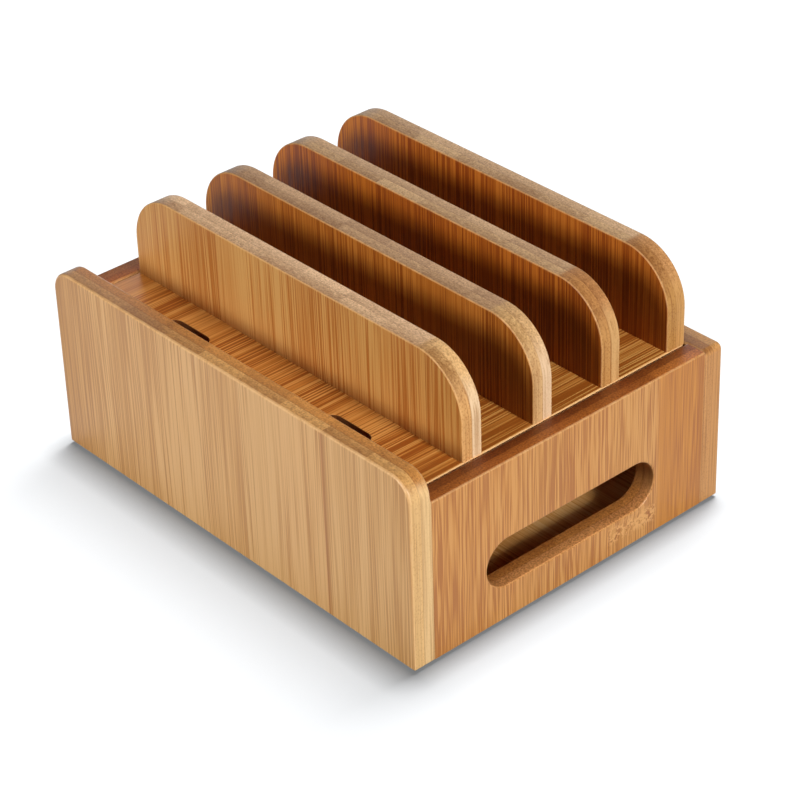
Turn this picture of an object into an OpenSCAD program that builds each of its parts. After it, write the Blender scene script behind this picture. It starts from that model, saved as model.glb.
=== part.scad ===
/* [Overall size] */
// Length of the box along its long side
body_l = 170.18; // [160:0.01:200]
// Depth of the box from front to back
body_d = 129.54; // [126:0.01:134]
// Overall height, from the table to the top of the dividers
total_h = 88.9; // [84:0.1:110]

/* [Box panels] */
// Thickness of the front, back and end panels
panel_t = 8; // [7:0.5:9]
// Height of the front panel above the underside of the box
front_h = 66.3; // [62:0.1:72]
// Height of the end and back panels above the underside of the box
wall_h = 56.6; // [55:0.1:60]
// Radius of the front panel's top corners
front_r = 8; // [4:0.5:12]
// Radius of the front and back panels' small corners
small_r = 2.2; // [1:0.1:3]

/* [Cable slots in the end panels] */
// Length of the slot in each end panel
end_slot_l = 70.8; // [50:0.1:76]
// Height of the slot in each end panel
end_slot_h = 17; // [10:0.5:20]
// Height of the slot's centre above the underside of the box
end_slot_z = 20.6; // [19:0.1:22]

/* [Bottom board] */
// Thickness of the bottom board
floor_t = 5; // [4:0.5:6]
// Width of the rabbet that the bottom board sits in
rabbet_w = 3; // [2:0.5:4]
// Diameter of the foot pads
pad_d = 10; // [8:0.5:12]
// Height that the foot pads stand proud of the underside
pad_h = 1; // [0.6:0.1:1.5]
// Depth of the round seat that each foot pad is glued into
pad_seat = 1; // [0.6:0.1:1.5]

/* [Lift-off top board] */
// Thickness of the top board
top_t = 8; // [6:0.5:9]
// How far the top board lies below the top of the end panels
top_drop = 0.2; // [0:0.1:2]
// Gap between the top board and the end panels, each side
top_gap_x = 0.3; // [0.2:0.05:1]
// Gap between the top board and the front and back panels, each side
top_gap_y = 0.37; // [0.2:0.01:1]
// Length of each cable slot in the top board
lane_slot_l = 20; // [16:0.5:22]
// Width of each cable slot in the top board
lane_slot_w = 8; // [6:0.5:9]
// Place of the left row of cable slots along the length
lane_slot_x1 = -36.4; // [-44:0.1:-30]
// Place of the right row of cable slots along the length
lane_slot_x2 = 39.6; // [30:0.1:44]
// From the top board's front edge to the centre of the first slots
lane_slot_y = 6.4; // [6:0.1:8]

/* [Dividers] */
// Thickness of each divider
div_t = 7.8; // [6:0.1:8]
// Radius of the dividers' top corners
div_r = 18.5; // [10:0.5:24]
// Distance from one divider to the next
div_pitch = 28.5; // [27:0.1:29]

/* [Joinery] */
// Diameter of the corner dowels
dowel_d = 4; // [3:0.5:4.5]
// Length of the corner dowels
dowel_l = 20; // [16:1:22]
// Depth of the dowel holes in the front and back panels
dowel_in = 5; // [4:0.5:5.5]
// Side of the square ledge strips that carry the top board
ledge_s = 8; // [7:0.5:9]
// Length of the ledge strips
ledge_l = 100; // [80:1:104]
// Shank diameter of the wood screws
screw_d = 3; // [2.5:0.1:3.2]
// Head diameter of the wood screws
screw_head = 5.6; // [5:0.1:6]
// Length of the screws that hold the dividers
div_screw_l = 20; // [16:1:22]
// Length of the screws that hold the ledge strips
ledge_screw_l = 13; // [11:0.5:13.5]

/* [Hidden] */

hx = body_l / 2;              // half length of the box
hy = body_d / 2;              // half depth of the box
ix = hx - panel_t;            // inner faces of the end panels
iy = hy - panel_t;            // inner faces of the front and back panels
z0 = pad_h;                   // underside of the box
wall_top = z0 + wall_h;
front_top = z0 + front_h;
top_z = wall_top - top_drop;  // upper face of the top board
top_b = top_z - top_t;        // lower face of the top board
lid_x = ix - top_gap_x;       // half length of the top board
lid_y = iy - top_gap_y;       // half depth of the top board
div_h = total_h - top_z;      // height of the dividers above the top board
pad_x = ix - 6;
pad_y = iy - 6;
dowel_z = [z0 + 14, z0 + 44]; // heights of the dowels at each corner
dowel_x = hx - panel_t / 2;
ledge_screw_y = 30;
div_screw_x = [-60, 0, 60];
bamboo = [0.80, 0.62, 0.42];
bamboo_end = [0.82, 0.60, 0.38];
bamboo_top = [0.64, 0.40, 0.18];
bamboo_div = [0.73, 0.50, 0.27];
rough_wood = [0.86, 0.74, 0.55];
steel = [0.72, 0.73, 0.75];
rubber = [0.10, 0.10, 0.11];

// front face y of divider number i, counted from the front
function div_y(i) = lid_y - div_t - (4 - i) * div_pitch;

// prism that rounds the outer corner of an upright slab, seen along Y
module corner_round(x, z, sx, sz, r, y0, y1) {
    difference() {
        translate([sx > 0 ? x - r : x - 1, y0 - 1, sz > 0 ? z - r : z - 1])
            cube([r + 1, y1 - y0 + 2, r + 1]);
        translate([x - sx * r, y0 - 2, z - sz * r])
            rotate([-90, 0, 0]) cylinder(h = y1 - y0 + 4, r = r, $fn = 96);
    }
}

// upright slab with two top radii and two bottom radii
module upright(x0, x1, y0, y1, zb, zt, rt, rb) {
    difference() {
        translate([x0, y0, zb]) cube([x1 - x0, y1 - y0, zt - zb]);
        corner_round(x1, zt, 1, 1, rt, y0, y1);
        corner_round(x0, zt, -1, 1, rt, y0, y1);
        if (rb > 0) corner_round(x1, zb, 1, -1, rb, y0, y1);
        if (rb > 0) corner_round(x0, zb, -1, -1, rb, y0, y1);
    }
}

// wood screw with a countersunk head, head face at z = 0, point upwards
module wood_screw(l) {
    difference() {
        union() {
            cylinder(h = (screw_head - screw_d) / 2, r1 = screw_head / 2,
                     r2 = screw_d / 2, $fn = 48);
            cylinder(h = l - 2.5, r = screw_d / 2, $fn = 48);
            translate([0, 0, l - 2.5])
                cylinder(h = 2.5, r1 = screw_d / 2, r2 = 0.3, $fn = 48);
        }
        translate([-0.4, -1.5, -1]) cube([0.8, 3, 2]);
        translate([-1.5, -0.4, -1]) cube([3, 0.8, 2]);
    }
}

// the room a wood screw takes, with no cross recess
module screw_room(l) {
    translate([0, 0, -1]) cylinder(h = 1, r = screw_head / 2, $fn = 48);
    cylinder(h = (screw_head - screw_d) / 2, r1 = screw_head / 2,
             r2 = screw_d / 2, $fn = 48);
    cylinder(h = l - 2.5, r = screw_d / 2, $fn = 48);
    translate([0, 0, l - 2.5])
        cylinder(h = 2.5, r1 = screw_d / 2, r2 = 0.3, $fn = 48);
}

// the two dowels of the corner on side sx, sy
module dowel_pair(sx, sy, grow = 0) {
    for (z = dowel_z)
        translate([sx * dowel_x, sy * (iy + dowel_in + grow), z])
            rotate([sy * 90, 0, 0])
                cylinder(h = dowel_l + grow, r = dowel_d / 2, $fn = 48);
}

// room for the bottom board at the inner foot of the panels
module rabbet_room() {
    translate([-ix - rabbet_w, -iy - rabbet_w, z0 - 1])
        cube([2 * (ix + rabbet_w), 2 * (iy + rabbet_w), floor_t + 1]);
}

// stadium shaped opening through an end panel on side sx
module end_slot(sx) {
    x0 = sx > 0 ? ix - 1 : -hx - 1;
    half = end_slot_l / 2 - end_slot_h / 2;
    translate([x0, -half, z0 + end_slot_z - end_slot_h / 2])
        cube([panel_t + 2, 2 * half, end_slot_h]);
    for (s = [-1, 1])
        translate([x0, s * half, z0 + end_slot_z]) rotate([0, 90, 0])
            cylinder(h = panel_t + 2, r = end_slot_h / 2, $fn = 96);
}

// the two screws of a ledge strip on side sx, turned to point outwards
module ledge_screw_places(sx) {
    for (s = [-1, 1])
        translate([sx * (ix - ledge_s), s * ledge_screw_y, top_b - ledge_s / 2])
            rotate([0, sx * 90, 0]) children();
}

// the screws under divider i, driven upwards through the top board
module div_screw_places(i) {
    for (x = div_screw_x)
        translate([x, div_y(i) + div_t / 2, top_b]) children();
}

// long front panel, two laminated plies, taller than the other walls
module front_panel() {
    color(bamboo) difference() {
        upright(-hx, hx, -hy, -iy, z0, front_top, front_r, small_r);
        rabbet_room();
        dowel_pair(1, -1);
        dowel_pair(-1, -1);
    }
}

// long back panel, as high as the ends
module back_panel() {
    color(bamboo) difference() {
        upright(-hx, hx, iy, hy, z0, wall_top, small_r, small_r);
        rabbet_room();
        dowel_pair(1, 1);
        dowel_pair(-1, 1);
    }
}

// end panel between front and back, on side sx
module end_panel(sx) {
    difference() {
        translate([sx > 0 ? ix : -hx, -iy, z0])
            cube([panel_t, 2 * iy, wall_h]);
        end_slot(sx);
        rabbet_room();
        for (sy = [-1, 1]) dowel_pair(sx, sy);
        ledge_screw_places(sx) screw_room(ledge_screw_l);
    }
}
module left_end_panel() { color(bamboo_end) end_panel(-1); }
module right_end_panel() { color(bamboo_end) end_panel(1); }

// floor of the charger bay, glued into the rabbet of all four walls
module bottom_board() {
    color(bamboo_top) difference() {
        translate([-ix - rabbet_w, -iy - rabbet_w, z0])
            cube([2 * (ix + rabbet_w), 2 * (iy + rabbet_w), floor_t]);
        for (sx = [-1, 1], sy = [-1, 1])
            translate([sx * pad_x, sy * pad_y, z0 - 1])
                cylinder(h = 1 + pad_seat, r = pad_d / 2, $fn = 64);
    }
}

// glued dowels across each corner of the box
module front_left_dowels() { color(rough_wood) dowel_pair(-1, -1); }
module front_right_dowels() { color(rough_wood) dowel_pair(1, -1); }
module back_left_dowels() { color(rough_wood) dowel_pair(-1, 1); }
module back_right_dowels() { color(rough_wood) dowel_pair(1, 1); }

// strips inside the ends that the top board rests on
module lid_ledge(sx) {
    difference() {
        translate([sx > 0 ? ix - ledge_s : -ix, -ledge_l / 2, top_b - ledge_s])
            cube([ledge_s, ledge_l, ledge_s]);
        ledge_screw_places(sx) screw_room(ledge_screw_l);
    }
}
module left_lid_ledge() { color(bamboo) lid_ledge(-1); }
module right_lid_ledge() { color(bamboo) lid_ledge(1); }
module left_ledge_screws() {
    color(steel) ledge_screw_places(-1) wood_screw(ledge_screw_l);
}
module right_ledge_screws() {
    color(steel) ledge_screw_places(1) wood_screw(ledge_screw_l);
}

// round non-slip pad under one corner
module foot_pad(sx, sy) {
    translate([sx * pad_x, sy * pad_y, 0])
        cylinder(h = pad_h + pad_seat, r = pad_d / 2, $fn = 64);
}
module foot_pad_front_left() { color(rubber) foot_pad(-1, -1); }
module foot_pad_front_right() { color(rubber) foot_pad(1, -1); }
module foot_pad_back_left() { color(rubber) foot_pad(-1, 1); }
module foot_pad_back_right() { color(rubber) foot_pad(1, 1); }

// lift-off board over the charger bay, with two cable slots in each lane
module top_board() {
    half = lane_slot_l / 2 - lane_slot_w / 2;
    color(bamboo_top) difference() {
        translate([-lid_x, -lid_y, top_b])
            cube([2 * lid_x, 2 * lid_y, top_t]);
        for (x = [lane_slot_x1, lane_slot_x2], i = [0:3])
            translate([x, -lid_y + lane_slot_y + i * div_pitch, top_b - 1]) {
                translate([-half, -lane_slot_w / 2, 0])
                    cube([2 * half, lane_slot_w, top_t + 2]);
                for (s = [-1, 1]) translate([s * half, 0, 0])
                    cylinder(h = top_t + 2, r = lane_slot_w / 2, $fn = 64);
            }
        for (i = [1:4]) div_screw_places(i) screw_room(div_screw_l);
    }
}

// upright divider number i, standing on the top board
module divider(i) {
    color(bamboo_div) difference() {
        upright(-lid_x, lid_x, div_y(i), div_y(i) + div_t, top_z, total_h,
                div_r, 0);
        div_screw_places(i) screw_room(div_screw_l);
    }
}
module divider_1() { divider(1); }
module divider_2() { divider(2); }
module divider_3() { divider(3); }
module divider_4() { divider(4); }

// screws that hold a divider from under the top board
module divider_screws(i) {
    color(steel) div_screw_places(i) wood_screw(div_screw_l);
}
module divider_1_screws() { divider_screws(1); }
module divider_2_screws() { divider_screws(2); }
module divider_3_screws() { divider_screws(3); }
module divider_4_screws() { divider_screws(4); }

front_panel();
back_panel();
left_end_panel();
right_end_panel();
bottom_board();
front_left_dowels();
front_right_dowels();
back_left_dowels();
back_right_dowels();
left_lid_ledge();
right_lid_ledge();
left_ledge_screws();
right_ledge_screws();
foot_pad_front_left();
foot_pad_front_right();
foot_pad_back_left();
foot_pad_back_right();
top_board();
divider_1();
divider_2();
divider_3();
divider_4();
divider_1_screws();
divider_2_screws();
divider_3_screws();
divider_4_screws();
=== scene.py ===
import math

import bmesh
import bpy
from mathutils import Matrix, Vector
from mathutils.geometry import delaunay_2d_cdt


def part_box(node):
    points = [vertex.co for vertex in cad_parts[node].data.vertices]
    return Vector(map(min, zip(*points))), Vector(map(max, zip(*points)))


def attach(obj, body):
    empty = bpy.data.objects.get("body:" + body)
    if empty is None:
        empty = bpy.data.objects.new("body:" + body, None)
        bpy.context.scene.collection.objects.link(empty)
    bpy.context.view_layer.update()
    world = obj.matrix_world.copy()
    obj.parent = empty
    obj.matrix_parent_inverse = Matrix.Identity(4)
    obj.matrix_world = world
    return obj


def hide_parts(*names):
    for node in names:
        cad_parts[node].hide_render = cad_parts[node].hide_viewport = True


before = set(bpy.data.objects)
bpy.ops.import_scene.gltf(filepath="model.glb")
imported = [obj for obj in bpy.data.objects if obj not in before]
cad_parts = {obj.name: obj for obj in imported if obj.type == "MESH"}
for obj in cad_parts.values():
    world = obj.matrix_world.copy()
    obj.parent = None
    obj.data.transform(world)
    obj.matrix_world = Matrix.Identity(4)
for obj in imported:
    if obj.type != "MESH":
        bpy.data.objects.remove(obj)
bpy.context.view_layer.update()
MM = 0.001
SCENE = bpy.context.scene

# ---------------------------------------------------------------- sizes (mm)
LO, HI = {}, {}
for _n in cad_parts:
    _a, _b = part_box(_n)
    LO[_n] = Vector(_a) / MM
    HI[_n] = Vector(_b) / MM
HX, HY = HI["front_panel"].x, -LO["front_panel"].y
Z0 = LO["front_panel"].z
FRONT_TOP = HI["front_panel"].z
WALL_TOP = HI["right_end_panel"].z
PANEL_T = HI["front_panel"].y - LO["front_panel"].y
IX, IY = HX - PANEL_T, HY - PANEL_T
TOP_Z, TOP_B = HI["top_board"].z, LO["top_board"].z
LID_X, LID_Y = HI["top_board"].x, HI["top_board"].y
TOTAL = HI["divider_1"].z
FLOOR_T = HI["bottom_board"].z - Z0
RABBET = HI["bottom_board"].x - IX
DIV_Y = [(LO["divider_%d" % i].y, HI["divider_%d" % i].y) for i in (1, 2, 3, 4)]
LEDGE = HI["right_lid_ledge"].x - LO["right_lid_ledge"].x
LEDGE_L = HI["right_lid_ledge"].y
SLOT_L, SLOT_H, SLOT_Z = 70.8, 17.0, Z0 + 20.6
LANE_L, LANE_W = 20.0, 8.0
LANE_X = (-36.4, 39.6)
LANE_Y = [-LID_Y + 6.4 + 28.5 * i for i in range(4)]
DOWEL_Z = (Z0 + 14.0, Z0 + 44.0)
SCREW_R, HEAD_R = 1.5, 2.8


# ---------------------------------------------------------------- mesh tools
class Outline:
    """Closed ring of points with outward normals (for a hole: normals into the hole)."""

    def __init__(self):
        self.p, self.n = [], []

    def arc(self, cx, cy, r, a0, a1, seg, sign=1.0):
        for k in range(seg + 1):
            a = math.radians(a0 + (a1 - a0) * k / seg)
            c, s = math.cos(a), math.sin(a)
            self.p.append((cx + r * c, cy + r * s))
            self.n.append((sign * c, sign * s))
        return self

    def dot(self, x, y, nx, ny):
        self.p.append((x, y))
        self.n.append((nx, ny))
        return self


def rounded(x0, x1, y0, y1, bl, br, tr, tl, seg=16, extra=()):
    """Rectangle with its own radius at each corner, counter-clockwise from bottom left.
    extra holds heights at which the two upright sides get one more point."""
    o = Outline()
    o.arc(x0 + bl, y0 + bl, bl, 180, 270, seg)
    o.arc(x1 - br, y0 + br, br, 270, 360, seg)
    for y in sorted(extra):
        if y0 + br < y < y1 - tr:
            o.dot(x1, y, 1, 0)
    o.arc(x1 - tr, y1 - tr, tr, 0, 90, seg)
    o.arc(x0 + tl, y1 - tl, tl, 90, 180, seg)
    for y in sorted(extra, reverse=True):
        if y0 + bl < y < y1 - tl:
            o.dot(x0, y, -1, 0)
    return o


def stadium(cx, cy, length, width, seg=20):
    """Hole with half-round ends, long in the first direction. Its normals point into the hole."""
    r, h = width / 2, (length - width) / 2
    o = Outline()
    o.arc(cx + h, cy, r, -90, 90, seg, -1.0)
    o.arc(cx - h, cy, r, 90, 270, seg, -1.0)
    return o


def inside(pt, ring):
    """Whether the 2-D point lies in the closed ring."""
    hit = False
    for a, b in zip(ring, ring[1:] + ring[:1]):
        if (a.y > pt.y) != (b.y > pt.y) and pt.x < (b.x - a.x) * (pt.y - a.y) / (b.y - a.y) + a.x:
            hit = not hit
    return hit


def slab(name, outer, holes, t0, t1, place, ease0, ease1, hole_ease=0.5, steps=5, mids=(), hole_mark=0.4):
    """Board of thickness t0..t1 with quarter-round edges, as one clean closed mesh.
    ease0 and ease1 give the edge radius at either face, as a number or a function of the outline point.
    The point attribute "edge" is 1 in the middle of each rounded edge and 0 on the flats."""
    bm = bmesh.new()
    edge_layer = bm.verts.layers.float.new("edge")

    def val(e, pt):
        return e(pt) if callable(e) else e

    def rings(o, e0, e1):
        made = []
        for k in range(steps + 1):
            f = math.pi / 2 * k / steps
            made.append([("a", 1 - math.sin(f), 1 - math.cos(f), math.sin(2 * f))])
        for m in mids:
            made.append([("m", m, 0, 0)])
        for k in range(steps, -1, -1):
            f = math.pi / 2 * k / steps
            made.append([("b", 1 - math.sin(f), 1 - math.cos(f), math.sin(2 * f))])
        out = []
        for (kind, s, depth, mark), in made:
            ring = []
            for (x, y), (nx, ny) in zip(o.p, o.n):
                if kind == "m":
                    v = bm.verts.new(place(x, y, s))
                else:
                    e = max(val(e0 if kind == "a" else e1, (x, y)), 0.02)
                    d = e * s
                    t = t0 + e * depth if kind == "a" else t1 - e * depth
                    v = bm.verts.new(place(x - nx * d, y - ny * d, t))
                v[edge_layer] = mark if o is outer else mark * hole_mark
                ring.append(v)
            out.append(ring)
        for a, b in zip(out, out[1:]):
            n = len(a)
            for i in range(n):
                j = (i + 1) % n
                bm.faces.new((a[i], a[j], b[j], b[i]))
        return out[0], out[-1]

    ends = [rings(outer, ease0, ease1)]
    ends += [rings(h, hole_ease, hole_ease) for h in holes]
    for side in (0, 1):
        loops = [e[side] for e in ends]
        if len(loops) == 1:
            bm.faces.new(loops[0] if side else list(reversed(loops[0])))
            continue
        drop = min(range(3), key=lambda k: max(v.co[k] for v in loops[0]) - min(v.co[k] for v in loops[0]))
        keep = [k for k in range(3) if k != drop]
        flat, links, verts = [], [], []
        for ring in loops:
            base = len(flat)
            for i, v in enumerate(ring):
                flat.append(Vector((v.co[keep[0]], v.co[keep[1]])) / MM)
                links.append((base + i, base + (i + 1) % len(ring)))
                verts.append(v)
        made = delaunay_2d_cdt(flat, links, [], 1, 1e-5)
        rim = [[Vector((v.co[keep[0]], v.co[keep[1]])) / MM for v in ring] for ring in loops[1:]]
        for tri in made[2]:
            mid = sum((made[0][k] for k in tri), Vector((0, 0))) / len(tri)
            if not any(inside(mid, r) for r in rim):
                bm.faces.new([verts[made[3][k][0]] for k in tri])
    bmesh.ops.remove_doubles(bm, verts=bm.verts, dist=0.004 * MM)
    bmesh.ops.recalc_face_normals(bm, faces=bm.faces)
    me = bpy.data.meshes.new(name)
    bm.to_mesh(me)
    bm.free()
    ob = bpy.data.objects.new(name, me)
    SCENE.collection.objects.link(ob)
    return ob


def along_y(x, z, y):
    return Vector((x, y, z)) * MM


def along_x(y, z, x):
    return Vector((x, y, z)) * MM


def along_z(x, y, z):
    return Vector((x, y, z)) * MM


def cut_flat(ob, point, normal):
    """Planes off what lies beyond the plane and closes the mesh there."""
    bm = bmesh.new()
    bm.from_mesh(ob.data)
    bmesh.ops.bisect_plane(
        bm, geom=bm.verts[:] + bm.edges[:] + bm.faces[:], dist=1e-7,
        plane_co=Vector(point) * MM, plane_no=Vector(normal), clear_outer=True)
    rim = [e for e in bm.edges if e.is_boundary]
    bmesh.ops.contextual_create(bm, geom=rim)
    bmesh.ops.recalc_face_normals(bm, faces=bm.faces)
    bm.to_mesh(ob.data)
    bm.free()


def solid_cutter(name, build):
    bm = bmesh.new()
    build(bm)
    me = bpy.data.meshes.new(name)
    bm.to_mesh(me)
    bm.free()
    ob = bpy.data.objects.new(name, me)
    SCENE.collection.objects.link(ob)
    return ob


def add_box(bm, lo, hi):
    lo, hi = Vector(lo) * MM, Vector(hi) * MM
    m = Matrix.Translation((lo + hi) / 2) @ Matrix.Diagonal((*(hi - lo), 1.0))
    bmesh.ops.create_cube(bm, size=1.0, matrix=m)


def add_turned(bm, profile, origin, axis, seg=32):
    """Closed solid of revolution. profile holds (radius, distance along axis) pairs."""
    axis = Vector(axis)
    side = Vector((0, 0, 1)) if abs(axis.z) < 0.5 else Vector((1, 0, 0))
    side = side.cross(axis).normalized()
    up = axis.cross(side)
    rings = []
    for r, t in profile:
        ring = []
        for k in range(seg):
            a = 2 * math.pi * k / seg
            p = Vector(origin) + axis * t + (side * math.cos(a) + up * math.sin(a)) * r
            ring.append(bm.verts.new(p * MM))
        rings.append(ring)
    made = []
    for a, b in zip(rings, rings[1:]):
        for i in range(seg):
            j = (i + 1) % seg
            made.append(bm.faces.new((a[i], a[j], b[j], b[i])))
    made.append(bm.faces.new(list(reversed(rings[0]))))
    made.append(bm.faces.new(rings[-1]))
    bmesh.ops.recalc_face_normals(bm, faces=made)


def screw_shape(length, grow=0.0):
    """Profile of the room that a countersunk wood screw takes, head first."""
    return [(HEAD_R + grow, -1.0), (HEAD_R + grow, 0.0), (SCREW_R + grow, HEAD_R - SCREW_R),
            (SCREW_R + grow, length - 2.5), (0.3 + grow, length)]


def carve(ob, build):
    """Takes the shape that build makes away from ob, for good."""
    tool = solid_cutter(ob.name + "_tool", build)
    m = ob.modifiers.new("carve", "BOOLEAN")
    m.operation, m.solver, m.object = "DIFFERENCE", "EXACT", tool
    bpy.context.view_layer.update()
    dg = bpy.context.evaluated_depsgraph_get()
    me = bpy.data.meshes.new_from_object(ob.evaluated_get(dg), depsgraph=dg)
    ob.modifiers.remove(m)
    old = ob.data
    ob.data = me
    me.name = ob.name
    bpy.data.meshes.remove(old)
    bpy.data.objects.remove(tool)


def finish_piece(ob, body, node, material):
    for p in ob.data.polygons:
        p.use_smooth = True
    w = ob.modifiers.new("even_normals", "WEIGHTED_NORMAL")
    w.mode = "FACE_AREA"
    w.weight = 80
    w.keep_sharp = True
    w.thresh = 0.02
    ob.data.materials.clear()
    ob.data.materials.append(material)
    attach(ob, body)
    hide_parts(node)


def sharpen(ob, angle=38.0):
    """Marks edges sharper than the angle, so that planed cuts stay crisp."""
    bm = bmesh.new()
    bm.from_mesh(ob.data)
    lim = math.radians(angle)
    for e in bm.edges:
        e.smooth = not (len(e.link_faces) == 2 and e.calc_face_angle(0.0) > lim)
    bm.to_mesh(ob.data)
    bm.free()


# ---------------------------------------------------------------- materials
def lin(c):
    """sRGB 0..255 to scene-linear."""
    out = []
    for v in c:
        v = v / 255.0
        out.append(v / 12.92 if v <= 0.04045 else ((v + 0.055) / 1.055) ** 2.4)
    return (*out, 1.0)


class Tree:
    def __init__(self, name):
        self.mat = bpy.data.materials.new(name)
        self.mat.use_nodes = True
        self.t = self.mat.node_tree
        self.t.nodes.clear()
        self.out = self.t.nodes.new("ShaderNodeOutputMaterial")
        self.bsdf = self.t.nodes.new("ShaderNodeBsdfPrincipled")
        self.t.links.new(self.bsdf.outputs[0], self.out.inputs["Surface"])

    def put(self, socket, v):
        if isinstance(v, bpy.types.NodeSocket):
            self.t.links.new(v, socket)
        elif v is not None:
            socket.default_value = v

    def math(self, op, a, b=None, c=None, clamp=False):
        n = self.t.nodes.new("ShaderNodeMath")
        n.operation, n.use_clamp = op, clamp
        for s, v in zip(n.inputs, (a, b, c)):
            self.put(s, v)
        return n.outputs[0]

    def vec(self, op, a, b=None, scale=None):
        n = self.t.nodes.new("ShaderNodeVectorMath")
        n.operation = op
        self.put(n.inputs[0], a)
        if b is not None:
            self.put(n.inputs[1], b)
        if scale is not None:
            self.put(n.inputs["Scale"], scale)
        return n.outputs["Value"] if op in ("DOT_PRODUCT", "LENGTH", "DISTANCE") else n.outputs["Vector"]

    def xyz(self, x, y, z):
        n = self.t.nodes.new("ShaderNodeCombineXYZ")
        for s, v in zip(n.inputs, (x, y, z)):
            self.put(s, v)
        return n.outputs[0]

    def noise(self, vector, scale=1.0, detail=2.0, rough=0.5, dist=0.0):
        n = self.t.nodes.new("ShaderNodeTexNoise")
        n.noise_dimensions = "3D"
        self.put(n.inputs["Vector"], vector)
        n.inputs["Scale"].default_value = scale
        n.inputs["Detail"].default_value = detail
        n.inputs["Roughness"].default_value = rough
        n.inputs["Distortion"].default_value = dist
        return n.outputs["Fac"]

    def white(self, w):
        n = self.t.nodes.new("ShaderNodeTexWhiteNoise")
        n.noise_dimensions = "1D"
        self.put(n.inputs["W"], w)
        return n.outputs["Value"]

    def voronoi(self, vector, scale=1.0, rnd=1.0):
        n = self.t.nodes.new("ShaderNodeTexVoronoi")
        n.feature = "F1"
        self.put(n.inputs["Vector"], vector)
        n.inputs["Scale"].default_value = scale
        n.inputs["Randomness"].default_value = rnd
        return n.outputs["Distance"]

    def span(self, v, lo, hi, to0=0.0, to1=1.0, smooth=True):
        n = self.t.nodes.new("ShaderNodeMapRange")
        n.interpolation_type = "SMOOTHSTEP" if smooth else "LINEAR"
        for s, x in zip(n.inputs, (v, lo, hi, to0, to1)):
            self.put(s, x)
        return n.outputs[0]

    def mix(self, fac, a, b, mode="MIX"):
        n = self.t.nodes.new("ShaderNodeMix")
        n.data_type, n.blend_type = "RGBA", mode
        self.put(n.inputs[0], fac)
        self.put(n.inputs[6], a)
        self.put(n.inputs[7], b)
        return n.outputs[2]

    def ramp(self, fac, stops):
        n = self.t.nodes.new("ShaderNodeValToRGB")
        r = n.color_ramp
        r.interpolation = "LINEAR"
        while len(r.elements) < len(stops):
            r.elements.new(0.5)
        for e, (pos, col) in zip(r.elements, stops):
            e.position, e.color = pos, col
        self.put(n.inputs[0], fac)
        return n.outputs[0]

    def coords(self):
        n = self.t.nodes.new("ShaderNodeTexCoord")
        return n.outputs["Object"], n.outputs["Normal"]

    def attribute(self, name):
        n = self.t.nodes.new("ShaderNodeAttribute")
        n.attribute_type, n.attribute_name = "GEOMETRY", name
        return n.outputs["Fac"]

    def bump(self, height, distance, strength=1.0):
        n = self.t.nodes.new("ShaderNodeBump")
        n.inputs["Strength"].default_value = strength
        n.inputs["Distance"].default_value = distance
        self.put(n.inputs["Height"], height)
        return n.outputs[0]


AXIS = {"x": (1.0, 0.0, 0.0), "y": (0.0, 1.0, 0.0), "z": (0.0, 0.0, 1.0)}


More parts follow.
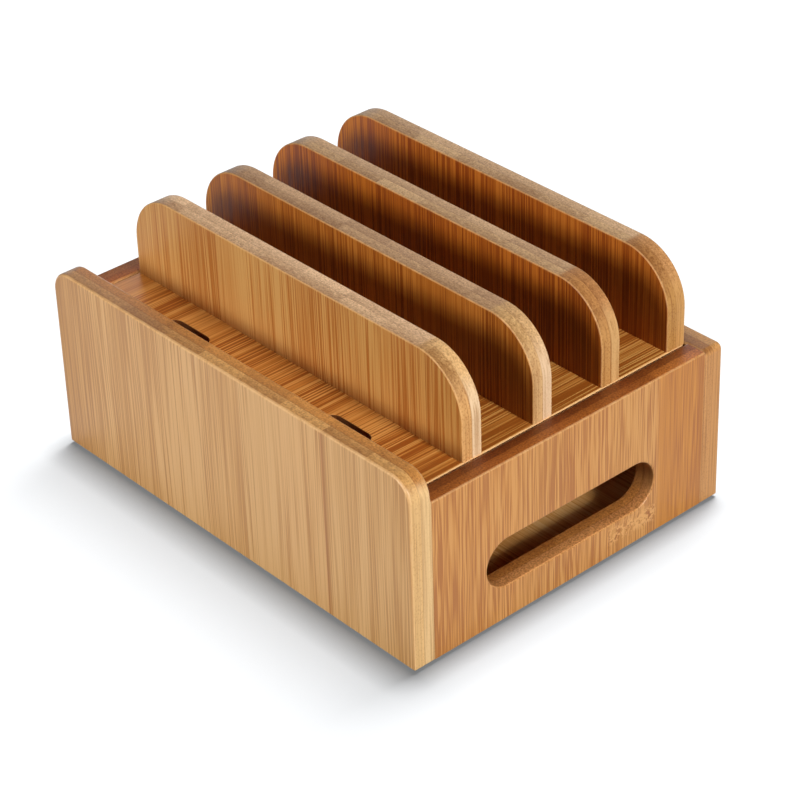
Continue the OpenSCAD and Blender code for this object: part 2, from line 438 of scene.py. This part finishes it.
def bamboo(name, across, grain, thick, mid, seed, light, base, dark, streaks=(0.8, 0.6, 1.9, 0.3), lengths=(0.007, 0.02), freq=(0.6, 2.0, 1.6),
           strip=19.2, shift=0.0, ply_shift=1.5, strip_tone=0.26, end=((190, 136, 80), (190, 136, 80)), end_var=0.22,
           side=((228, 178, 118), (236, 196, 146)), ply_line=0.35, rim=(232, 188, 134), rim_amount=0.6,
           rough=0.42, coat=0.18, spec=0.42, joint=None, plies=True, drift=None, edge_drift=None, low=None, speck=(0.45, 0.35),
           calm=None, bold=None, far=None, blotch=0.6):
    """Laminated caramel bamboo. across, grain and thick are the board's own axes; mid is its mid plane.
    Strips lie side by side across, two plies lie face to face, and the fibres run along grain, so broad faces
    show streaks, and ends show the cut fibre bundles as dots. end and side hold one colour for each ply.
    joint = (u0, u1, v0) puts one culm joint at that place on the broad face. drift and edge_drift = (u0, u1, tint)
    shade the faces or the edges from u0 to u1, and low = (v0, v1, tint, tint) the edges from v1 down to v0, with one
    tint for each ply. calm = (u0, u1, k0, k1) scales the streaks from k0 to k1, and bold = u0 darkens one glue line.
    far = (v0, v1, tint) shades both outer ends, and blotch is how uneven the cut ends are."""
    t = Tree(name)
    pos, nor = t.coords()
    p = t.vec("SCALE", pos, scale=1000.0)
    u = t.vec("DOT_PRODUCT", p, AXIS[across])
    v = t.vec("DOT_PRODUCT", p, AXIS[grain])
    w = t.math("SUBTRACT", t.vec("DOT_PRODUCT", p, AXIS[thick]), mid)
    ply = t.math("GREATER_THAN", w, 0.0) if plies else 0.0
    us = t.math("ADD", t.math("ADD", u, 26 * strip - shift), t.math("MULTIPLY", ply, ply_shift))
    cell = t.math("DIVIDE", us, strip)
    sid = t.math("FLOOR", cell)
    frac = t.math("SUBTRACT", cell, sid)
    key = t.math("ADD", t.math("ADD", sid, t.math("MULTIPLY", ply, 57.0)), seed * 13.7)
    r1 = t.white(key)
    r2 = t.white(t.math("ADD", key, 0.37))
    r3 = t.white(t.math("ADD", key, 0.71))

    def mul(x, k):
        return t.math("MULTIPLY", x, k)

    def off_mid(x, k):
        return mul(t.math("SUBTRACT", x, 0.5), k)

    def tint(c, k, fac):
        return t.mix(fac, c, t.mix(1.0, c, (*k, 1.0), "MULTIPLY"))

    # slow wander of the fibres, in mm
    wander = off_mid(t.noise(t.xyz(mul(us, 0.05), mul(v, 0.012), mul(key, 3.1)), 1.0, 1.0), 1.6)
    uu = t.math("ADD", us, wander)
    # culm joint: a short band of crumpled fibres
    crackle = t.noise(t.xyz(mul(us, 0.5), mul(v, 0.42), mul(w, 0.9)), 1.0, 2.5, 0.6)
    near = 0.0
    if joint is not None:
        u0, u1, v0 = joint
        near = t.math("MULTIPLY", t.span(u, u0 - 0.5, u0 + 2.0), t.span(u, u1 - 1.0, u1 + 1.0, 1.0, 0.0))
        lean = t.math("ADD", t.math("SUBTRACT", v, v0), off_mid(crackle, 5.0))
        near = t.math("MULTIPLY", near, t.span(t.math("ABSOLUTE", lean), 1.6, 4.2, 1.0, 0.0))
    uu = t.math("ADD", uu, mul(t.math("MULTIPLY", off_mid(crackle, 1.0), near), 4.0))
    key_off = mul(key, 11.3)

    def fib(fu, fv, add):
        return t.xyz(t.math("ADD", mul(uu, fu), key_off), t.math("ADD", mul(v, fv), add), mul(w, fu))

    m_len, f_len = lengths
    broad = t.noise(fib(0.09, 0.003, 1.0), 1.0, 1.0)
    medium = t.noise(fib(freq[0], m_len, 5.0), 1.0, 0.0)
    fine = t.noise(fib(freq[1], f_len, 9.0), 1.0, 0.0)
    ridge = t.noise(fib(freq[2], m_len, 2.0), 1.0, 0.0)
    where = t.span(t.noise(fib(0.10, 0.006, 3.0), 1.0, 0.0), 0.34, 0.66)
    hair = t.math("MULTIPLY", t.span(ridge, 0.60, 0.78), t.math("ADD", mul(where, 0.9), 0.1))
    tone = t.math("ADD", off_mid(medium, streaks[1]), t.math("MULTIPLY", off_mid(fine, streaks[2]), t.math("ADD", mul(where, 0.8), 0.6)))
    tone = t.math("SUBTRACT", tone, mul(hair, streaks[3]))
    if calm is not None:
        tone = t.math("MULTIPLY", tone, t.span(u, *calm, smooth=False))
    tone = t.math("ADD", tone, off_mid(broad, streaks[0]))
    tone = t.math("ADD", t.math("ADD", tone, off_mid(r1, strip_tone)), 0.53)
    col = t.ramp(tone, [(0.08, lin(dark)), (0.5, lin(base)), (0.92, lin(light))])
    # hue drift between strips
    col = tint(col, (1.03, 0.92, 0.82), mul(r3, 0.3))
    if drift is not None:
        col = tint(col, drift[2], t.span(u, drift[0], drift[1], smooth=False))
    # glue line between strips
    seam = t.math("ABSOLUTE", t.math("SUBTRACT", frac, 0.5))
    seam = t.span(seam, 0.5 - 0.30 / strip, 0.5 - 0.06 / strip, 0.0, 1.0)
    seam = t.math("MULTIPLY", seam, t.math("ADD", mul(r2, 0.8), 0.1))
    col = tint(col, (0.66, 0.48, 0.34), mul(seam, 0.5))
    if bold is not None:
        line = t.math("ABSOLUTE", t.math("ADD", t.math("SUBTRACT", u, bold), off_mid(medium, 1.0)))
        col = tint(col, (0.74, 0.58, 0.46), t.span(line, 0.25, 0.95, 0.8, 0.0))
    # crumpled fibres of the joint: pale ridges between darker hollows
    zig = t.span(t.math("ABSOLUTE", t.math("SUBTRACT", crackle, 0.52)), 0.015, 0.09, 1.0, 0.0)
    col = t.mix(mul(t.math("MULTIPLY", near, zig), 0.85), col, lin(tuple(min(255, c + 16) for c in light)))
    col = tint(col, (0.74, 0.60, 0.48), mul(t.math("MULTIPLY", near, t.span(crackle, 0.58, 0.66)), 0.6))
    # edges: cut bundles on the ends, long fibres on the sides
    n_end = t.math("ABSOLUTE", t.vec("DOT_PRODUCT", nor, AXIS[grain]))
    n_thick = t.math("ABSOLUTE", t.vec("DOT_PRODUCT", nor, AXIS[thick]))
    n_side = t.math("ABSOLUTE", t.vec("DOT_PRODUCT", nor, AXIS[across]))
    on_edge = t.span(n_thick, 0.55, 0.80, 1.0, 0.0)
    to_side = t.span(t.math("SUBTRACT", n_side, n_end), -0.15, 0.75)
    specks = t.voronoi(t.xyz(mul(us, 1.15), mul(v, 1.15), mul(w, 1.4)), 1.0)
    specks = t.span(specks, 0.16, 0.50, 1.0, 0.0)
    grit = t.noise(t.xyz(mul(us, 1.7), mul(v, 1.7), mul(w, 1.9)), 1.0, 0.0)
    grade = t.math("ADD", mul(w, 0.11), t.math("ADD", off_mid(r2, 2.0 * end_var), off_mid(t.noise(
        t.xyz(mul(us, 0.45), mul(v, 0.45), mul(w, 0.9)), 1.0, 2.0, 0.6), blotch)))
    e0, e1 = end
    end_col = t.mix(ply, lin(e0), lin(e1)) if plies else t.mix(1.0, lin(e0), lin(e0))
    end_col = t.mix(1.0, end_col, t.ramp(t.math("ADD", grade, 0.5), [(0.0, (0.62, 0.52, 0.42, 1)), (0.5, (1, 1, 1, 1)), (1.0, (1.34, 1.42, 1.5, 1))]), "MULTIPLY")
    end_col = tint(end_col, (0.60, 0.50, 0.42), mul(specks, t.math("ADD", mul(r1, 0.3), speck[0] - 0.15)))
    end_col = t.mix(1.0, end_col, t.ramp(t.math("ADD", off_mid(grit, 2.0 * speck[0]), 0.5), [(0.1, (0.72, 0.66, 0.60, 1)), (0.5, (1, 1, 1, 1)), (0.9, (1.25, 1.30, 1.34, 1))]), "MULTIPLY")
    if edge_drift is not None:
        end_col = tint(end_col, edge_drift[2], t.span(u, edge_drift[0], edge_drift[1], smooth=False))
    # far lifts or tints both outer ends; where the end colour is dark, painted shade stays only on inner cut edges such
    # as slot walls
    if far is not None:
        end_col = tint(end_col, far[2], t.span(t.math("ABSOLUTE", v), far[0], far[1]))
    # low lifts the edges below v0..v1, with one tint for each ply; on the end panels it paints light on the slot's sill
    if low is not None:
        shade = t.mix(ply, (*low[2], 1.0), (*low[3], 1.0))
        end_col = t.mix(t.span(v, low[0], low[1], 1.0, 0.0, smooth=False), end_col, t.mix(1.0, end_col, shade, "MULTIPLY"))
    s0, s1 = side
    side_col = t.mix(ply, lin(s0), lin(s1)) if plies else t.mix(1.0, lin(s0), lin(s0))
    lines = t.noise(t.xyz(mul(us, 0.5), mul(v, 0.02), mul(w, 1.5)), 1.0, 2.0, 0.6)
    side_col = t.mix(1.0, side_col, t.ramp(lines, [(0.25, (0.62, 0.50, 0.40, 1)), (0.5, (1, 1, 1, 1)), (0.8, (1.12, 1.16, 1.22, 1))]), "MULTIPLY")
    side_col = tint(side_col, (0.66, 0.50, 0.38), mul(specks, t.math("SUBTRACT", speck[1], mul(ply, 0.6 * speck[1])) if plies else 0.2))
    col = t.mix(on_edge, col, t.mix(to_side, end_col, side_col))
    if plies:
        # glue line between the two plies, seen on every edge
        gl = t.math("ABSOLUTE", t.math("ADD", w, off_mid(crackle, 0.16)))
        gl = t.math("MULTIPLY", t.span(gl, 0.06, 0.30, 1.0, 0.0), on_edge)
        col = tint(col, (0.50, 0.34, 0.25), mul(gl, ply_line))
    # sanded edges are a little paler, and the pale rim also paints the highlight along the eased edges
    rim_wear_and_highlight = t.math("MULTIPLY", t.span(t.attribute("edge"), 0.15, 0.85), t.span(t.noise(p, 0.35, 2.0), 0.3, 0.7, 0.55, 1.0))
    col = t.mix(mul(rim_wear_and_highlight, rim_amount), col, lin(rim))
    t.put(t.bsdf.inputs["Base Color"], col)
    # satin lacquer, thinner over the cut ends
    smudge = t.noise(p, 0.045, 3.0, 0.55)
    rg = t.math("ADD", off_mid(fine, 0.16), off_mid(smudge, 0.14))
    rg = t.math("ADD", rg, t.math("ADD", rough, mul(on_edge, 0.06)))
    t.put(t.bsdf.inputs["Roughness"], t.math("MAXIMUM", rg, 0.2))
    h = t.math("ADD", mul(fine, 0.6), mul(medium, 0.6))
    h = t.math("SUBTRACT", h, mul(t.math("ADD", hair, seam), 0.4))
    h = t.math("ADD", h, mul(t.math("MULTIPLY", near, zig), 1.2))
    h = t.math("SUBTRACT", h, mul(t.math("MULTIPLY", on_edge, specks), 0.8))
    t.put(t.bsdf.inputs["Normal"], t.bump(h, 0.00005, 0.55))
    t.bsdf.inputs["Coat Weight"].default_value = coat
    t.bsdf.inputs["Coat Roughness"].default_value = 0.28
    t.bsdf.inputs["Specular IOR Level"].default_value = spec
    return t.mat


def steel(name):
    t = Tree(name)
    pos, _ = t.coords()
    p = t.vec("SCALE", pos, scale=1000.0)
    n = t.noise(p, 1.4, 3.0, 0.6)
    t.put(t.bsdf.inputs["Base Color"], t.ramp(n, [(0.3, (0.46, 0.47, 0.49, 1)), (0.7, (0.66, 0.67, 0.69, 1))]))
    t.bsdf.inputs["Metallic"].default_value = 1.0
    t.put(t.bsdf.inputs["Roughness"], t.span(n, 0.2, 0.8, 0.26, 0.44))
    t.put(t.bsdf.inputs["Normal"], t.bump(t.noise(p, 6.0, 2.0), 0.00002, 0.5))
    return t.mat


def rubber(name):
    t = Tree(name)
    pos, _ = t.coords()
    p = t.vec("SCALE", pos, scale=1000.0)
    n = t.noise(p, 2.2, 3.0, 0.65)
    t.put(t.bsdf.inputs["Base Color"], t.ramp(n, [(0.3, (0.010, 0.010, 0.011, 1)), (0.75, (0.030, 0.030, 0.032, 1))]))
    t.put(t.bsdf.inputs["Roughness"], t.span(n, 0.2, 0.8, 0.62, 0.85))
    t.put(t.bsdf.inputs["Normal"], t.bump(n, 0.00006, 0.7))
    return t.mat


def dowel_wood(name, grain):
    t = Tree(name)
    pos, _ = t.coords()
    p = t.vec("SCALE", pos, scale=1000.0)
    k = {"x": (0.05, 2.0, 2.0), "y": (2.0, 0.05, 2.0), "z": (2.0, 2.0, 0.05)}[grain]
    n = t.noise(t.vec("MULTIPLY", p, k), 1.0, 3.0, 0.6)
    t.put(t.bsdf.inputs["Base Color"], t.ramp(n, [(0.3, lin((176, 142, 98))), (0.7, lin((218, 190, 146)))]))
    t.put(t.bsdf.inputs["Roughness"], t.span(n, 0.2, 0.8, 0.55, 0.7))
    t.put(t.bsdf.inputs["Normal"], t.bump(n, 0.00006, 0.6))
    return t.mat


ply_y = -HY + PANEL_T / 2
M_FRONT = bamboo("bamboo_front_panel", "x", "z", "y", ply_y, 457.7, light=(225, 178, 119), base=(212, 162, 101), dark=(191, 138, 78),
                 streaks=(0.8, 0.5, 2.4, 0.3), freq=(0.5, 2.2, 1.5), shift=46.9, strip_tone=0.5, drift=(-66.0, -72.0, (0.88, 0.82, 0.72)), bold=46.9, end=((213, 159, 92), (193, 130, 63)), end_var=0.20,
                 side=((234, 188, 124), (240, 198, 138)), edge_drift=(-26.0, -32.0, (0.76, 0.70, 0.68)))
M_BACK = bamboo("bamboo_back_panel", "x", "z", "y", -ply_y, 2.0, light=(211, 165, 104), base=(195, 145, 84), dark=(166, 110, 55),
                streaks=(0.9, 0.45, 2.0, 0.3), freq=(0.5, 2.0, 1.5), shift=12.0, end=((182, 124, 66), (196, 140, 80)),
                side=((206, 146, 82), (206, 146, 82)), rim_amount=0.45)
# low lifts the sill and lower end-grain edges well above the dark top edge, more on the inner ply: painted light on the
# sill, where the slot's upper edge throws shade
M_RIGHT = bamboo("bamboo_right_end", "y", "z", "x", HX - PANEL_T / 2, 3.0, light=(216, 156, 88), base=(202, 139, 69), dark=(178, 112, 49),
                 streaks=(0.9, 0.9, 3.6, 0.5), lengths=(0.010, 0.06), freq=(1.6, 2.6, 2.2), shift=37.0, strip_tone=0.2, calm=(36.0, 38.0, 1.0, 0.3),
                 end=((136, 70, 22), (159, 87, 31)), side=((190, 130, 70), (200, 140, 80)), rim_amount=0.45, drift=(36.5, 37.5, (0.95, 0.86, 0.60)),
                 joint=(15.0, 36.0, 8.6), low=(36.0, 42.0, (2.25, 3.6, 6.2), (1.75, 2.65, 5.5)), edge_drift=(34.0, 38.0, (1.25, 1.35, 1.5)), speck=(0.7, 0.4))
# low likewise lifts the sill and lower end-grain edges of the left slot: painted light on the sill
M_LEFT = bamboo("bamboo_left_end", "y", "z", "x", -HX + PANEL_T / 2, 4.0, light=(215, 157, 89), base=(201, 139, 69), dark=(178, 112, 50),
                streaks=(0.9, 0.9, 3.4, 0.5), lengths=(0.010, 0.06), freq=(1.6, 2.6, 2.2), shift=30.0, end=((171, 100, 42), (175, 96, 34)),
                side=((190, 130, 70), (200, 140, 80)), rim_amount=0.45, low=(36.0, 42.0, (1.7, 2.6, 4.5), (1.5, 2.2, 4.0)), coat=0.06, spec=0.3, rough=0.5)
# The dark end colour paints shade into the walls of the lane slots; far lifts the two outer ends back to a mid
# end-grain brown. The strong pale rim paints the highlight along the board's eased edges.
M_TOP = bamboo("bamboo_top_board", "x", "y", "z", (TOP_Z + TOP_B) / 2, 5.0, light=(244, 181, 97), base=(219, 143, 61), dark=(177, 98, 31),
               streaks=(0.9, 0.6, 2.5, 0.5), freq=(0.6, 1.9, 1.5), shift=-5.0, calm=(-76.0, 10.0, 0.55, 1.0), end=((92, 50, 20), (104, 58, 24)),
               side=((224, 172, 110), (232, 186, 128)), rim=(236, 190, 130), rim_amount=0.8, far=(54.0, 55.5, (2.5, 3.6, 4.6)))
M_FLOOR = bamboo("bamboo_bottom_board", "y", "x", "z", Z0 + FLOOR_T / 2, 6.0, light=(220, 175, 115), base=(212, 159, 93), dark=(186, 124, 59),
                 streaks=(0.6, 0.4, 1.1, 0.15), shift=3.0, plies=False, coat=0.04, spec=0.2, rough=0.55)
M_LEDGE = bamboo("bamboo_ledge", "z", "y", "x", 0.0, 7.0, light=(212, 162, 100), base=(190, 136, 76), dark=(150, 92, 40),
                 streaks=(0.9, 0.6, 1.9, 0.3), strip=40.0, end=((186, 134, 80),) * 2, side=((200, 148, 88),) * 2, plies=False)
# Divider 1 stands in front with the lighter palette; dividers 2 to 4 get a darker, redder one, partly their own tone
# and partly painted shade, as they stand in divider 1's shadow.
# On dividers 2 to 4, drift lifts the left ends to a warmer, brighter tone: a painted pool of light where light passes
# divider 1's left end. The pale rim paints the thin highlights along the top edges.
# The pale end colours on the tops are partly the cut ends' own colour and partly a painted sheen; edge_drift turns the
# rounded right ends back to golden on dividers 1, 3 and 4, and lighter on divider 2.
DIV_LOOK = [
    dict(light=(206, 160, 96), base=(195, 142, 79), dark=(172, 110, 50), end=((222, 178, 132), (220, 176, 132)), side=((221, 166, 103), (240, 204, 160)), drift=(-60.0, 74.0, (0.88, 0.78, 0.62)), edge_drift=(57.4, 58.8, (0.88, 0.82, 0.62)), strip_tone=0.36, calm=(-60.0, 20.0, 0.45, 1.0)),
    dict(light=(181, 113, 42), base=(162, 93, 27), dark=(132, 67, 14), end=((194, 151, 106), (188, 145, 104)), side=((218, 173, 118), (234, 197, 156)), drift=(-60.0, -74.0, (1.10, 1.25, 1.0)), edge_drift=(57.4, 58.8, (1.20, 1.25, 1.12))),
    dict(light=(181, 103, 29), base=(158, 82, 19), dark=(127, 58, 9), end=((205, 163, 114), (199, 157, 114)), side=((199, 144, 82), (216, 167, 107)), drift=(-60.0, -74.0, (1.12, 1.25, 1.0)), edge_drift=(57.4, 58.8, (0.80, 0.60, 0.40))),
    dict(light=(187, 108, 34), base=(164, 86, 21), dark=(134, 61, 11), end=((207, 165, 116), (201, 159, 116)), side=((193, 140, 76), (209, 156, 92)), drift=(-60.0, -74.0, (1.10, 1.25, 1.0)), edge_drift=(57.4, 58.8, (0.80, 0.62, 0.42))),
]
M_DIV = []
for i, (a, b) in enumerate(DIV_Y):
    M_DIV.append(bamboo("bamboo_divider_%d" % (i + 1), "x", "z", "y", (a + b) / 2, 775.3 + i, streaks=(0.8, 0.4, 2.2, 0.4), freq=(0.6, 2.0, 1.6),
                        shift=4.0 + 5.3 * i, end_var=0.26, ply_line=0.2, rim=(226, 178, 118), rim_amount=0.5, speck=(0.5, 0.6), blotch=1.0,
                        coat=0.06, spec=0.25, rough=0.46, **DIV_LOOK[i]))
M_STEEL = steel("zinc_screw")
M_RUBBER = rubber("pad_rubber")
M_DOWEL = dowel_wood("dowel_wood", "y")

# ---------------------------------------------------------------- pieces


def dowel_tool(sy, sides=(-1, 1), grow=0.0):
    def build(bm):
        for sx in sides:
            for z in DOWEL_Z:
                add_turned(bm, [(2.0 + grow, 0.0), (2.0 + grow, 20.0)],
                           (sx * (HX - PANEL_T / 2), sy * (IY + 5.0), z), (0, -sy, 0))
    return build


def panel_carving(sy):
    def build(bm):
        add_box(bm, (-IX - RABBET, min(0, sy * (IY + RABBET)), Z0 - 2), (IX + RABBET, max(0, sy * (IY + RABBET)), Z0 + FLOOR_T))
        dowel_tool(sy)(bm)
    return build


def joint_ease(top):
    """Rounded along the free edge, nearly square where an end panel butts against the inner face."""
    def f(pt):
        x, z = pt
        k = min(1.0, max(0.0, (z - (top - 0.6)) / 1.8))
        if z < Z0 + 3:
            return 0.3
        return 0.06 + 0.94 * k if abs(x) > IX else 1.0
    return f


def outer_ease(pt):
    """Edge radius of an outer face: small at the bottom, 1 mm higher up."""
    return 0.4 + 0.6 * min(1.0, max(0.0, (pt[1] - Z0) / 20.0))


front = slab("front_panel_piece", rounded(-HX, HX, Z0, FRONT_TOP, 0.7, 0.7, 8.0, 8.0, 20, extra=(WALL_TOP - 0.6, WALL_TOP + 0.2)),
             [], -HY, -IY, along_y, outer_ease, joint_ease(WALL_TOP))
carve(front, panel_carving(-1))
sharpen(front)
finish_piece(front, "base", "front_panel", M_FRONT)

back = slab("back_panel_piece", rounded(-HX, HX, Z0, WALL_TOP, 0.7, 0.7, 2.2, 2.2, 12),
            [], IY, HY, along_y, joint_ease(WALL_TOP - 1.6), outer_ease)
carve(back, panel_carving(1))
sharpen(back)
finish_piece(back, "base", "back_panel", M_BACK)


def end_carving(sx):
    def build(bm):
        add_box(bm, (min(0, sx * (IX + RABBET)), -IY - 4, Z0 - 2), (max(0, sx * (IX + RABBET)), IY + 4, Z0 + FLOOR_T))
        for sy in (-1, 1):
            dowel_tool(sy, (sx,))(bm)
        for s in (-1, 1):
            add_turned(bm, screw_shape(13.0), (sx * (IX - LEDGE), s * 30.0, TOP_B - LEDGE / 2), (sx, 0, 0))
    return build


for sx, name, node, mat in ((1, "right_end_panel_piece", "right_end_panel", M_RIGHT), (-1, "left_end_panel_piece", "left_end_panel", M_LEFT)):
    x0, x1 = sorted((sx * IX, sx * HX))
    e0, e1 = (1.3, 0.7) if sx > 0 else (0.7, 1.3)
    ob = slab(name, rounded(-IY - 4, IY + 4, Z0, WALL_TOP, 1.6, 1.6, 1.6, 1.6, 3),
              [stadium(0.0, SLOT_Z, SLOT_L, SLOT_H, 28)], x0, x1, along_x,
              lambda pt: e0 if pt[1] > 30 else 0.5, lambda pt: e1 if pt[1] > 30 else 0.5, 0.6)
    cut_flat(ob, (0, IY, 0), (0, 1, 0))
    cut_flat(ob, (0, -IY, 0), (0, -1, 0))
    carve(ob, end_carving(sx))
    sharpen(ob)
    finish_piece(ob, "base", node, mat)

floor_board = slab("bottom_board_piece", rounded(-IX - RABBET, IX + RABBET, -IY - RABBET, IY + RABBET, 0.45, 0.45, 0.45, 0.45, 2),
                   [], Z0, Z0 + FLOOR_T, along_z, 0.3, 0.1)


def pad_seats(bm):
    for sx in (-1, 1):
        for sy in (-1, 1):
            add_turned(bm, [(5.0, -1.0), (5.0, 1.0)], (sx * (IX - 6), sy * (IY - 6), Z0), (0, 0, 1), 48)


carve(floor_board, pad_seats)
sharpen(floor_board)
finish_piece(floor_board, "base", "bottom_board", M_FLOOR)

for sx, name, node in ((1, "right_lid_ledge_piece", "right_lid_ledge"), (-1, "left_lid_ledge_piece", "left_lid_ledge")):
    x0, x1 = sorted((sx * (IX - LEDGE), sx * IX))
    ob = slab(name, rounded(x0, x1, -LEDGE_L, LEDGE_L, 0.5, 0.5, 0.5, 0.5, 4), [], TOP_B - LEDGE, TOP_B, along_z, 0.4, 0.1)

    def ledge_carving(bm, sx=sx):
        for s in (-1, 1):
            add_turned(bm, screw_shape(13.0), (sx * (IX - LEDGE), s * 30.0, TOP_B - LEDGE / 2), (sx, 0, 0))
    carve(ob, ledge_carving)
    sharpen(ob)
    finish_piece(ob, "base", node, M_LEDGE)

lid = slab("top_board_piece", rounded(-LID_X, LID_X, -LID_Y, LID_Y, 1.0, 1.0, 1.0, 1.0, 4),
           [stadium(x, y, LANE_L, LANE_W, 16) for x in LANE_X for y in LANE_Y], TOP_B, TOP_Z, along_z, 0.5, 0.5, 0.3)


def lid_carving(bm):
    for a, b in DIV_Y:
        for x in (-60, 0, 60):
            add_turned(bm, screw_shape(20.0), (x, (a + b) / 2, TOP_B), (0, 0, 1))


carve(lid, lid_carving)
sharpen(lid)
finish_piece(lid, "lid", "top_board", M_TOP)

for i, (a, b) in enumerate(DIV_Y):
    ob = slab("divider_%d_piece" % (i + 1), rounded(-LID_X, LID_X, TOP_Z - 12, TOTAL, 2, 2, 18.5, 18.5, 28), [], a, b, along_y, 0.5, 0.5)
    cut_flat(ob, (0, 0, TOP_Z), (0, 0, -1))

    def divider_carving(bm, y=(a + b) / 2):
        for x in (-60, 0, 60):
            add_turned(bm, screw_shape(20.0), (x, y, TOP_B), (0, 0, 1))
    carve(ob, divider_carving)
    sharpen(ob)
    finish_piece(ob, "lid", "divider_%d" % (i + 1), M_DIV[i])

# ---------------------------------------------------------------- pieces that keep their CAD shape
for n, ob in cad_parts.items():
    m = M_STEEL if "screws" in n else M_RUBBER if n.startswith("foot_pad") else M_DOWEL if "dowels" in n else None
    if m is None:
        continue
    ob.data.materials.clear()
    ob.data.materials.append(m)

# ---------------------------------------------------------------- floor, light, camera
bpy.ops.mesh.primitive_plane_add(size=6.0, location=(0, 0, 0))
ground = bpy.context.object
ground.name = "floor"
g = Tree("pale_floor")
gp, _ = g.coords()
gn = g.noise(gp, 3.0, 2.0)
g.put(g.bsdf.inputs["Base Color"], g.ramp(gn, [(0.3, (0.207, 0.211, 0.216, 1)), (0.7, (0.213, 0.217, 0.222, 1))]))
g.bsdf.inputs["Roughness"].default_value = 0.9
g.bsdf.inputs["Specular IOR Level"].default_value = 0.1
g.bsdf.inputs["Emission Color"].default_value = (0.95, 0.98, 1.0, 1)
g.bsdf.inputs["Emission Strength"].default_value = 0.20  # keeps the contact shadow a soft grey
ground.data.materials.append(g.mat)
ground.visible_diffuse = False  # the floor shows in the lacquer, but throws no light back up

world = bpy.data.worlds.new("studio")
SCENE.world = world
world.use_nodes = True
bg = world.node_tree.nodes["Background"]
bg.inputs[0].default_value = (1.0, 1.0, 1.0, 1)
bg.inputs[1].default_value = 0.01

# The floor has its own overhead lights, so that it stays white around a short soft shadow.
# The other lights leave the floor alone.
only_floor = bpy.data.collections.new("lit_floor")
only_floor.objects.link(ground)
all_but_floor = bpy.data.collections.new("lit_pieces")
all_but_floor.objects.link(ground)
all_but_floor.collection_objects[0].light_linking.link_state = "EXCLUDE"


def area(name, place, aim, size, power, receivers, size_y=None, color=(1.0, 1.0, 1.0)):
    d = bpy.data.lights.new(name, "AREA")
    d.energy, d.size = power, size
    if size_y:
        d.shape, d.size_y = "RECTANGLE", size_y
    d.color = color
    o = bpy.data.objects.new(name, d)
    SCENE.collection.objects.link(o)
    o.location = place
    if aim is not None:
        o.rotation_euler = (Vector(aim) - Vector(place)).to_track_quat("-Z", "Y").to_euler()
    o.light_linking.receiver_collection = receivers
    return o


def toward(az, el, r):
    """Point at azimuth az (0 = +X, 90 = +Y) and elevation el, in degrees."""
    a, e = math.radians(az), math.radians(el)
    return (r * math.cos(a) * math.cos(e), r * math.sin(a) * math.cos(e), r * math.sin(e))


AIM = (0.0, 0.0, 0.045)
area("floor_light", (-0.034, 0.127, 2.0), None, 0.333, 72.0, only_floor, 0.37)
area("floor_long_light", (-0.217, 0.627, 2.0), None, 0.70, 122.0, only_floor, 1.37)
area("front_light", toward(-90, 22.5, 1.3), AIM, 0.42, 7.4, all_but_floor)
area("front_low_light", toward(-100, 15, 1.3), AIM, 0.42, 4.0, all_but_floor)
area("front_left_light", toward(-125, 22, 1.3), AIM, 0.42, 1.0, all_but_floor, color=(1.0, 0.86, 0.62))
area("front_right_light", toward(-60, 25, 1.3), AIM, 0.42, 0.87, all_but_floor)
area("right_light", toward(0, 26.5, 1.3), AIM, 0.17, 10.5, all_but_floor)
area("right_soft_light", toward(0, 26.5, 1.3), AIM, 0.42, 3.8, all_but_floor)
area("left_card", toward(180, 45, 1.3), AIM, 0.42, 0.54, all_but_floor)
area("top_card", toward(0, 90, 1.3), AIM, 0.5, 0.8, all_but_floor)
area("back_low_card", toward(140, 10, 1.3), AIM, 1.0, 3.6, all_but_floor)
area("back_card", toward(125, 30, 1.3), AIM, 1.2, 2.3, all_but_floor)

cam_data = bpy.data.cameras.new("camera")
cam = bpy.data.objects.new("camera", cam_data)
SCENE.collection.objects.link(cam)
YAW, PITCH, ROLL, FPX = 0.8571, -0.5761, -0.0342, 2675.97
fwd = Vector((-math.sin(YAW) * math.cos(PITCH), math.cos(YAW) * math.cos(PITCH), math.sin(PITCH)))
right = Vector((math.cos(YAW), math.sin(YAW), 0))
up = right.cross(fwd)
r2 = right * math.cos(ROLL) + up * math.sin(ROLL)
u2 = up * math.cos(ROLL) - right * math.sin(ROLL)
m = Matrix.Identity(4)
for k in range(3):
    m[k][0], m[k][1], m[k][2] = r2[k], u2[k], -fwd[k]
m.translation = Vector((546.7302, -466.8797, 493.5506)) * MM
cam.matrix_world = m
cam_data.sensor_width = 36.0
cam_data.lens = FPX / 800.0 * 36.0
cam_data.clip_start, cam_data.clip_end = 0.01, 20.0
cam_data.dof.use_dof = False
SCENE.camera = cam
SCENE.view_settings.view_transform = "Standard"
SCENE.view_settings.look = "None"
